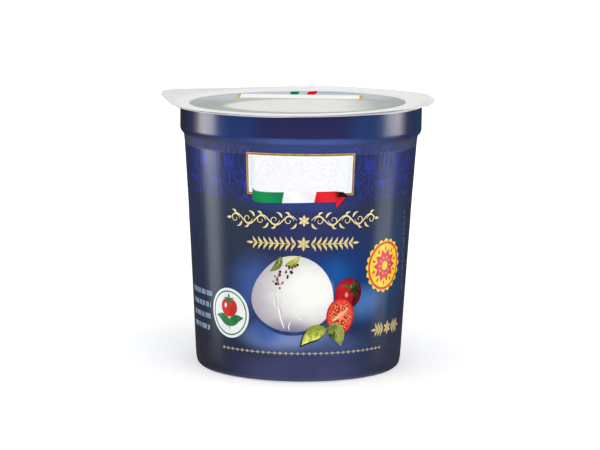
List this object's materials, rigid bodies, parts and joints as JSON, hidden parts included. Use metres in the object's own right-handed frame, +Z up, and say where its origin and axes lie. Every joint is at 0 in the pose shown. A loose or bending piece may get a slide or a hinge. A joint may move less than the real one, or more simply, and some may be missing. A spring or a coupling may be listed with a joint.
{
  "type": "film-sealed plastic tub of mozzarella in brine",
  "caption": "Shut round plastic tub for soft white cheese in brine, with a tapering printed wall, a stacking collar, and a peel-off film lid with a corner to pull it by.",
  "frame": {"origin": "centre of the base, on the surface that the tub stands on", "axes": "+Z up along the tub's axis, the printed front faces -Y, the film's pull corner is at the back left (-X, +Y)"},
  "size_m": [0.1055, 0.1005, 0.1029],
  "materials": {
    "tub_print": null,
    "tub_plastic": "white plastic of the flange and the base, satin",
    "film": "pale grey sealed film with a faint silver sheen and a white border"
  },
  "bodies": {
    "root": {"tub": "tub_print", "lid_film": "film"}
  },
  "joints": []
}
